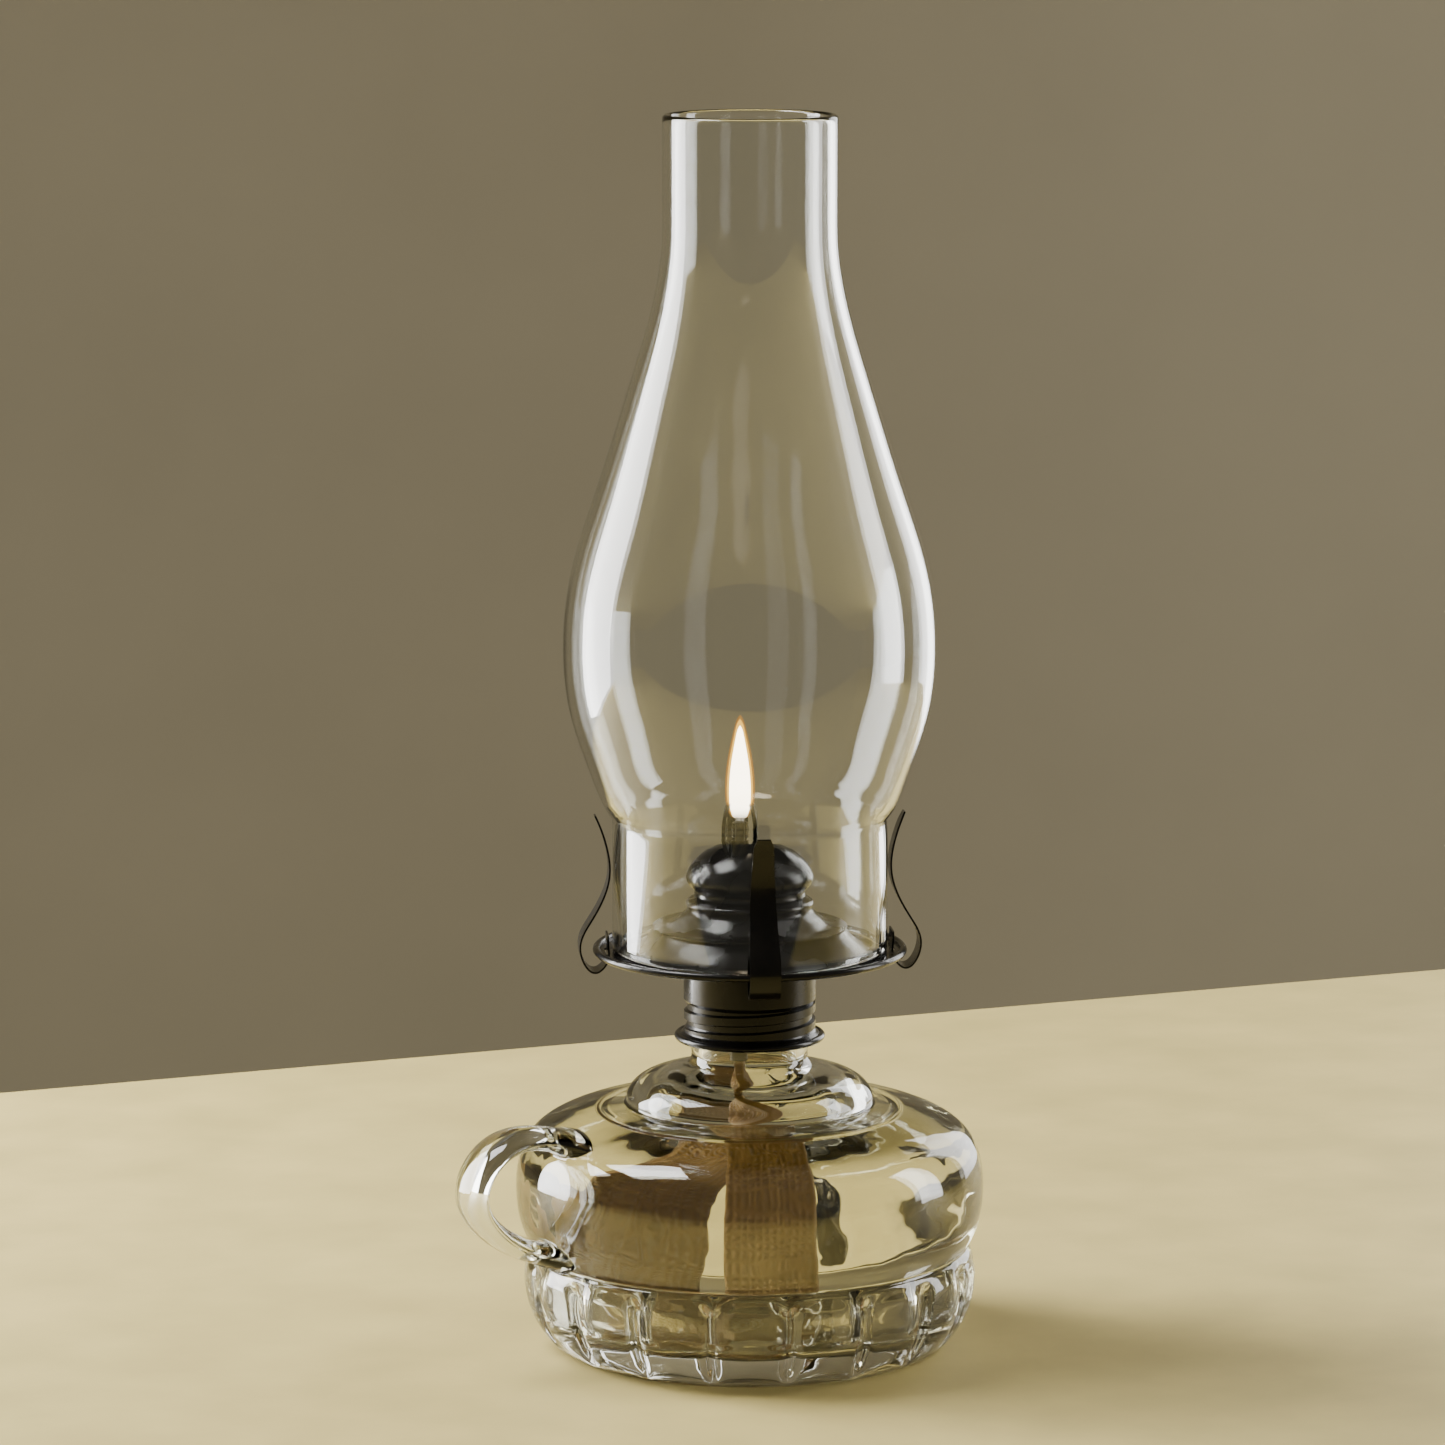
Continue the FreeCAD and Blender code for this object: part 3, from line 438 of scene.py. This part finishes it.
def fontInside(inset=0.0):
    s = fontSet
    wall = s["wall"] + inset
    body = s["bodyHeight"] - s["bandHeight"]
    discTop = s["bodyHeight"] + s["discHeight"]
    floor = s["recess"] + s["floor"] + inset
    mouth = (s["boreRadius"] - inset, discTop - 1.0)
    shoulder = (s["discRadius"] - wall + 0.8, s["bodyHeight"] - wall + 0.6)
    neckIn = smoothLine(
        [
            mouth, (s["boreRadius"] + 2.6 - inset, discTop - 0.42 * s["discHeight"]),
            (s["discRadius"] - wall - 1.4, s["bodyHeight"] + 0.24 * s["discHeight"]), shoulder,
        ],
        (0.1, -1), (0.3, -1), 22,
    )
    bowl = smoothLine(
        [
            shoulder, (s["bodyRadius"] - 12.8 - inset, s["bandHeight"] + 0.925 * body - wall),
            (s["bodyRadius"] - 3.9 - wall * 0.85, s["bandHeight"] + 0.74 * body),
            (s["bodyRadius"] - wall, s["bandHeight"] + 0.38 * body),
            (s["bandRadius"] - s["grooveDepth"] - wall + 0.6, s["bandHeight"]),
            (s["bandRadius"] - 2.0 - wall, 0.56 * s["bandHeight"]),
            (s["footRadius"] - wall - 4.5, floor),
        ],
        (1, -0.15), (-1, -0.06), 70,
    )
    return neckIn + bowl[1:] + [(28, floor), (14, floor), (0, floor)]


def shapeLobes(bm):
    # pulls the band in between the lobes, more at the seams than across each pillow
    s = fontSet
    count, high = s["lobes"], s["bandHeight"] - 1.2
    low = 1.2
    for vert in bm.verts:
        z = vert.co.z / mm
        r = math.hypot(vert.co.x, vert.co.y) / mm
        if r < s["footRadius"] - 0.5 or not low < z < high:
            continue
        if r < s["bandRadius"] - s["wall"] * 2.2 and z > 6:
            continue
        turn = (math.atan2(vert.co.y, vert.co.x) / (2 * math.pi) * count) % 1.0
        aside = 1 - abs(2 * turn - 1)  # 0 at a lobe's middle, 1 at the seam
        up = (z - low) / (high - low)
        # past 1 outside the pillow's rounded corner
        corner = (aside**4 + max(0, (up - 0.5) * 2) ** 4) ** 0.25
        ends = min(1, up * 5) * min(1, (1 - up) * 6)
        seam = 0.25 * aside**2 + 0.75 * min(1, max(0, corner - 0.72) / 0.34) ** 2
        pull = s["lobeDepth"] * seam * ends
        vert.co.x *= (r - pull) / r
        vert.co.y *= (r - pull) / r


handleSet = {
    "reach": 19.4,
    "width": 14.0,
    "thickness": 5.6,
    "top": 57.6,
    "bottom": 27.5,
    "stations": 64,
    "segments": 40,
    "rootFlare": 0.45,  # how much thicker the strap gets where it meets the body
    "rootWiden": 0.35,
}


def makeHandle():
    s = handleSet
    body = fontSet["bodyRadius"]
    out = body + s["reach"]
    rise = s["top"] - s["bottom"]
    line = smoothLine(
        [
            (-(body - 8.0), s["top"] - 0.11 * rise), (-(body + 3.0), s["top"] - 0.01 * rise),
            (-(out - 6.5), s["top"] - 0.07 * rise), (-out, (s["top"] + s["bottom"]) / 2 + 0.04 * rise),
            (-(out - 5.2), s["bottom"] + 0.27 * rise), (-(body + 5.0), s["bottom"] + 0.09 * rise),
            (-(body - 3.6), s["bottom"]),
        ],
        (-1, 0.35), (1, -0.3), s["stations"],
    )
    bm = bmesh.new()
    ring = bmesh.ops.create_circle(bm, cap_ends=True, radius=1.0, segments=s["segments"])["verts"]
    shape = [v.co.copy() for v in ring]
    loop = list({e for v in ring for e in v.link_edges if all(x in ring for x in e.verts)})
    for i, (x, z) in enumerate(line):
        before, after = line[max(i - 1, 0)], line[min(i + 1, len(line) - 1)]
        way = Vector((after[0] - before[0], 0, after[1] - before[1])).normalized()
        side = Vector((-way.z, 0, way.x))
        share = i / (len(line) - 1)
        root = max(0, 1 - share / 0.17) ** 2 + max(0, 1 - (1 - share) / 0.14) ** 2
        wide = s["width"] / 2 * (1 + s["rootWiden"] * root)
        thick = s["thickness"] / 2 * (1 + s["rootFlare"] * root)
        if i:
            made = bmesh.ops.extrude_edge_only(bm, edges=loop)["geom"]
            fresh = [g for g in made if isinstance(g, bmesh.types.BMVert)]
            loop = [g for g in made if isinstance(g, bmesh.types.BMEdge) and all(v in fresh for v in g.verts)]
            ring = matched(ring, fresh)
        for vert, corner in zip(ring, shape):
            vert.co = (Vector((x, 0, z)) + Vector((0, 1, 0)) * corner.x * wide + side * corner.y * thick) * mm
    bmesh.ops.contextual_create(bm, geom=loop)
    bmesh.ops.recalc_face_normals(bm, faces=bm.faces)
    return bm


def matched(ring, fresh):
    # the new vertex above each vertex of the last ring
    above = []
    for vert in ring:
        above.append(next(e.other_vert(vert) for e in vert.link_edges if e.other_vert(vert) in fresh))
    return above


threadSet = {"pitch": 4.2, "turns": 1.0, "proud": 1.05, "fromLip": 3.6, "steps": 90}


def makeNeckThread(lip):
    # a rounded rib wound once round the neck
    s = threadSet
    neck = fontSet["neckRadius"]
    high = lip - s["fromLip"] + s["pitch"] / 2
    low = high - s["turns"] * s["pitch"]
    bm = bmesh.new()
    lower = [(-0.4, -1.35), (0.35, -1.0), (0.85, -0.55)]
    section = lower + [(s["proud"], 0)] + [(r, -z) for r, z in lower[::-1]]
    verts = [bm.verts.new(((neck + r) * mm, 0, (low + z) * mm)) for r, z in section]
    face = bm.faces.new(verts)
    bmesh.ops.spin(
        bm, geom=[face], cent=(0, 0, 0), axis=(0, 0, 1), angle=2 * math.pi * s["turns"], steps=s["steps"],
        dvec=(0, 0, s["pitch"] * s["turns"] / s["steps"] * mm),
    )
    bmesh.ops.rotate(
        bm, verts=bm.verts, cent=(0, 0, 0), matrix=Matrix.Rotation(low / s["pitch"] * 2 * math.pi, 3, "Z")
    )
    bmesh.ops.recalc_face_normals(bm, faces=bm.faces)
    return bm


def joinSolids(piece, *others):
    # one skin round all of them, as the glass is one piece
    for other in others:
        weld = piece.modifiers.new("join", "BOOLEAN")
        weld.operation = "UNION"
        weld.solver = "EXACT"
        weld.object = other
    applyModifiers(piece)
    for other in others:
        bpy.data.objects.remove(other)


def makeFont(glass):
    outside, lip, discTop = fontOutside()
    bore = [(fontSet["boreRadius"] + 0.3, lip - 0.1), (fontSet["boreRadius"], lip - 0.7)]
    bore += [(fontSet["boreRadius"], z) for z in np.linspace(lip - 2, discTop + 0.4, 9)]
    bm = latheMesh(outside + bore + fontInside(), fontSet["steps"])
    shapeLobes(bm)
    font = addPiece("glassFont", bm, glass, "font", ["font"])
    joinSolids(font, looseObject("handle", makeHandle()), looseObject("thread", makeNeckThread(lip)))
    font.data.materials.clear()
    font.data.materials.append(glass)
    font.data.shade_smooth()
    return font


oilSet = {
    "level": 56.0,
    "lap": 0.08,  # how far the oil's skin lies in the glass
    "climb": 0.5,  # how far the surface creeps up the wall
    "steps": 144,
}


def makeOil(liquid):
    level = oilSet["level"]
    wet = [(r, z) for r, z in fontInside(-oilSet["lap"]) if z < level - 0.3]
    r, z = wet[0]
    surface = [(0, level), (r * 0.35, level), (r * 0.7, level), (r - 2.6, level), (r - 1.0, level + 0.12)]
    surface += [(r - 0.3, level + oilSet["climb"] * 0.6), (r + 0.02, level + oilSet["climb"])]
    bm = latheMesh(surface + wet, oilSet["steps"])
    return addPiece("oilFill", bm, liquid, "font", ["lamp_oil"])


wickSet = {
    "width": 15.9, "thickness": 2.4, "offset": -2.4, "clock": -31.0, "twist": 80.0,
    "twistFrom": 64.7, "twistLength": 14.0, "drift": 6.0,
    "wave": 0.35,  # the soaked length isn't quite flat
    "trim": 0.2,  # smaller than the solid it stands for by this much, so that the wave stays inside
    "columns": 12, "rows": 140,
}


def makeWick(cotton):
    s = wickSet
    low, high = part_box("wick")
    bottom, top = low.z / mm, high.z / mm
    bm = bmesh.new()
    bmesh.ops.create_grid(bm, x_segments=s["columns"], y_segments=s["rows"], size=0.5)
    weave = bm.loops.layers.uv.new("weave")
    for face in bm.faces:
        for loop in face.loops:
            loop[weave].uv = (loop.vert.co.x * s["width"] * mm, loop.vert.co.y * (top - bottom) * mm)
    for vert in bm.verts:
        across, up = vert.co.x, vert.co.y + 0.5
        z = bottom + up * (top - bottom)
        t = min(max((s["twistFrom"] - z) / s["twistLength"], 0), 1)
        eased = t * t * (3 - 2 * t)
        turn = math.radians(s["twist"] * eased)
        middle = s["offset"] + s["drift"] * eased
        wave = s["wave"] * math.sin(z * 0.21) * t
        y = across * (s["width"] - s["trim"])
        vert.co = Vector((
            middle - y * math.sin(turn) + wave * math.cos(turn),
            y * math.cos(turn) + wave * math.sin(turn), z,
        )) * mm
    clocked = Matrix.Rotation(math.radians(s["clock"]), 3, "Z")
    bmesh.ops.rotate(bm, verts=bm.verts, cent=(0, 0, 0), matrix=clocked)
    wick = addPiece("cottonWick", bm, cotton, "wick", ["wick"])
    thicken(wick, s["thickness"] - s["trim"])
    return wick


tailSet = {
    "start": 4.0, "startAngle": -30.0, "heading": 80.0, "reach": 46.8, "top": 52.0,
    "stations": 110,
    "weaveStep": 0.8,  # length of weave for each station
    "trimAcross": 0.4, "trimThick": 0.5,
}


def makeTail(cotton):
    # the wick's slack end: along the floor, then up the far wall, a little crumpled
    s, w = tailSet, wickSet
    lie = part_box("wick_tail")[0].z / mm + w["thickness"] / 2 + 0.1
    climb = s["top"] - lie
    reach = s["reach"]
    line = smoothLine(
        [
            (0.2, lie), (0.30 * reach, lie), (0.60 * reach, lie + 0.3),
            (0.78 * reach, lie + 0.03 * climb), (0.92 * reach, lie + 0.13 * climb),
            (reach, lie + 0.36 * climb), (reach + 0.4, lie + 0.58 * climb),
            (reach - 0.6, lie + 0.80 * climb), (reach - 2.4, s["top"]),
        ],
        (1, 0), (-0.25, 1), s["stations"],
    )
    bm = bmesh.new()
    bmesh.ops.create_grid(bm, x_segments=w["columns"], y_segments=s["stations"] - 1, size=0.5)
    weave = bm.loops.layers.uv.new("weave")
    for vert in bm.verts:
        i = round((vert.co.y + 0.5) * (s["stations"] - 1))
        x, z = line[i]
        across = vert.co.x * (w["width"] - s["trimAcross"])
        for loop in vert.link_loops:
            loop[weave].uv = (across * mm, i * s["weaveStep"] * mm)
        vert.co = Vector((x, across, z)) * mm
    heading = Matrix.Rotation(math.radians(s["heading"]), 3, "Z")
    bmesh.ops.rotate(bm, verts=bm.verts, cent=(0, 0, 0), matrix=heading)
    angle = math.radians(s["startAngle"])
    start = Vector((math.cos(angle), math.sin(angle), 0)) * s["start"] * mm
    bmesh.ops.translate(bm, verts=bm.verts, vec=start)
    tail = addPiece("wickTail", bm, cotton, "font", ["wick_tail"])
    thicken(tail, w["thickness"] - s["trimThick"])
    return tail


def thicken(piece, thickness):
    wall = piece.modifiers.new("thickness", "SOLIDIFY")
    wall.thickness = thickness * mm
    wall.offset = 0
    soft = piece.modifiers.new("rounded", "BEVEL")
    soft.width = 0.5 * mm
    soft.segments = 3
    soft.limit_method = "ANGLE"
    applyModifiers(piece)
    piece.data.shade_smooth()


flameSet = {
    "bottom": 129.6, "tip": 155.0, "width": 7.2, "depth": 9.5, "stations": 48, "steps": 40,
    # name, finish, share of the width, tip lowered by, colour, strength, opacity, full glow this far up
    "shells": [
        ("flameSkin", "amber flame skin", 1.0, 0.0, "#F29A14", 1.3, 0.22, 5.0),
        ("flameMantle", "yellow flame mantle", 0.87, 1.0, "#FFC444", 3.2, 0.45, 6.0),
        ("flameCore", "white flame core", 0.72, 2.6, "#FFF7E2", 18.0, 1.0, 8.0),
    ],
}


def makeFlame(name, share, lowered, material):
    s = flameSet
    tall = (s["tip"] - lowered - s["bottom"]) * mm
    outline = smoothLine(
        [
            (0, 0), (0.34, 0.03), (0.46, 0.14), (0.50, 0.30), (0.46, 0.48), (0.36, 0.66), (0.21, 0.85),
            (0.09, 0.965), (0, 1),
        ],
        (1, 0.1), (-1, 0.4), s["stations"],
    )
    bm = latheMesh([(max(r, 0) / mm, z / mm) for r, z in outline], s["steps"])
    size = Vector((s["width"] * share * mm, s["depth"] * share * mm, tall))
    bmesh.ops.scale(bm, verts=bm.verts, vec=size)
    bmesh.ops.translate(bm, verts=bm.verts, vec=Vector((wickSet["offset"], 0, s["bottom"])) * mm)
    turn = Matrix.Rotation(math.radians(wickSet["clock"]), 3, "Z")
    bmesh.ops.rotate(bm, verts=bm.verts, cent=(0, 0, 0), matrix=turn)
    bmesh.ops.recalc_face_normals(bm, faces=bm.faces)
    return addPiece(name, bm, material, "wick")


def makeFlames():
    base = flameSet["bottom"]
    for name, finish, share, lowered, colour, strength, opacity, root in flameSet["shells"]:
        glow = flameGlow(finish, colour, strength, opacity, base * mm, (base + root) * mm)
        makeFlame(name, share, lowered, glow)


def paintNodes(material, names):
    for name in names:
        mesh = nodes[name].data
        mesh.materials.clear()
        mesh.materials.append(material)


roomSet = {
    "floor": "#BBA968",
    "backdrop": "#CCC1A3",
    "floorInFront": 0.45,  # short, so that the chimney's front mirrors the dim room and not the table
    "floorBehind": 0.37,
    "floorHalfWidth": 1.2,
    "floorSlant": 0.5,  # the far edge runs back to the right by this much and forward to the left
    "backdropBehind": 2.4,  # well past any camera that circles the lamp
    "backdropTurn": 100,  # degrees to each side
    "backdropLow": -1.5,
    "backdropHigh": 2.5,
    "backdropSteps": 64,
}


def plainSurface(name, code, mottle, scale):
    material, tree, shader, place = newMaterial(name)
    cloud = addNode(tree, "ShaderNodeTexNoise", {"Scale": scale, "Detail": 5}, {"Vector": place})
    tint = addNode(tree, "ShaderNodeValToRGB", {}, {"Fac": cloud.outputs[0]})
    base = srgb(code)
    tint.color_ramp.elements[0].position = 0.3
    tint.color_ramp.elements[0].color = [c * (1 - mottle) for c in base[:3]] + [1]
    tint.color_ramp.elements[1].position = 0.7
    tint.color_ramp.elements[1].color = [min(c * (1 + mottle), 1) for c in base[:3]] + [1]
    tree.links.new(tint.outputs[0], shader.inputs["Base Color"])
    shader.inputs["Roughness"].default_value = 0.6
    return material


def makePlane(name, corners, material):
    bm = bmesh.new()
    bm.faces.new([bm.verts.new(c) for c in corners])
    plane = looseObject(name, bm)
    plane.data.materials.append(material)
    return plane


def makeRoom():
    s = roomSet
    back = -toCamera
    near = toCamera * s["floorInFront"]
    far = back * s["floorBehind"]
    side = acrossView * s["floorHalfWidth"]
    slant = back * s["floorSlant"]
    tableTop = plainSurface("table top", s["floor"], 0.10, 30)
    makePlane("floor", [near - side, near + side, far + side + slant, far - side - slant], tableTop)
    makeBackdrop(back * s["backdropBehind"], plainSurface("painted backdrop", s["backdrop"], 0.03, 6))


def makeBackdrop(middle, material):
    # a curved sheet well round to both sides, so that the chimney's edges bend a pale surface into view
    s = roomSet
    half = math.radians(s["backdropTurn"])
    bm = bmesh.new()
    low, high = [bm.verts.new(middle + Vector((0, 0, z))) for z in (s["backdropLow"], s["backdropHigh"])]
    bmesh.ops.rotate(bm, verts=bm.verts, cent=(0, 0, 0), matrix=Matrix.Rotation(-half, 3, "Z"))
    edge = bm.edges.new((low, high))
    bmesh.ops.spin(
        bm, geom=[low, high, edge], cent=(0, 0, 0), axis=(0, 0, 1), angle=2 * half,
        steps=s["backdropSteps"],
    )
    sheet = looseObject("backdrop", bm)
    sheet.data.materials.append(material)
    sheet.data.shade_smooth()


lightSet = [
    # name, degrees from the camera towards its right, distance, height, width, tall, power
    ("leftSoftbox", -108, 0.75, 0.30, 0.40, 0.80, 26),
    ("rightStrip", 98, 0.80, 0.28, 0.26, 0.80, 7),
    ("rightBackStrip", 143, 0.80, 0.25, 0.40, 0.70, 4),
]
topSet = {"left": 0.7, "behind": 0.1, "height": 1.3, "size": 0.6, "power": 24, "aimHeight": 0.15}
worldSet = {"colour": "#D8D2C0", "strength": 0.22}


def makeLight(name, place, aim, width, tall, power):
    light = bpy.data.lights.new(name, "AREA")
    light.shape = "RECTANGLE"
    light.size = width
    light.size_y = tall
    light.energy = power
    lamp = bpy.data.objects.new(name, light)
    lamp.location = place
    lamp.rotation_euler = (place - aim).to_track_quat("Z", "Y").to_euler()
    bpy.context.scene.collection.objects.link(lamp)


def makeLights():
    for name, turn, distance, height, width, tall, power in lightSet:
        angle = math.radians(turn)
        way = toCamera * math.cos(angle) + acrossView * math.sin(angle)
        place = way * distance + Vector((0, 0, height))
        makeLight(name, place, Vector((0, 0, height)), width, tall, power)
    t = topSet
    above = acrossView * -t["left"] - toCamera * t["behind"] + Vector((0, 0, t["height"]))
    makeLight("topSoftbox", above, Vector((0, 0, t["aimHeight"])), t["size"], t["size"], t["power"])
    world = bpy.data.worlds.new("room")
    world.use_nodes = True
    world.node_tree.nodes["Background"].inputs[0].default_value = srgb(worldSet["colour"])
    world.node_tree.nodes["Background"].inputs[1].default_value = worldSet["strength"]
    bpy.context.scene.world = world


makeRoom()
makeLights()
print("room and lights ready")
makeChimney(blownGlass())
makeFont(pressedGlass())
makeOil(lampOilLiquid())
print("glass ready")
cotton = wovenCotton(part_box("wick")[1].z)
makeWick(cotton)
makeTail(cotton)
makeFlames()
print("wick and flame ready")
black = burnishedSteel("burnished black steel", "#0B0A09", 0.24)
paintNodes(black, [
    "screw_cap", "tube_plate", "wick_tube", "draft_basket", "gallery", "cone", "dome",
    "shaft_bearing_1", "shaft_bearing_2", "shaft_sleeve", "prong_1", "prong_2", "prong_3", "prong_4",
])
paintNodes(burnishedSteel("burnished knob steel", "#12110F", 0.28), ["knob"])
paintNodes(plainSteel(), ["raiser_shaft", "spur_wheel_1", "spur_wheel_2", "spur_wheel_3"])
paintNodes(pressedCork(), ["cap_gasket"])
print("metal ready")
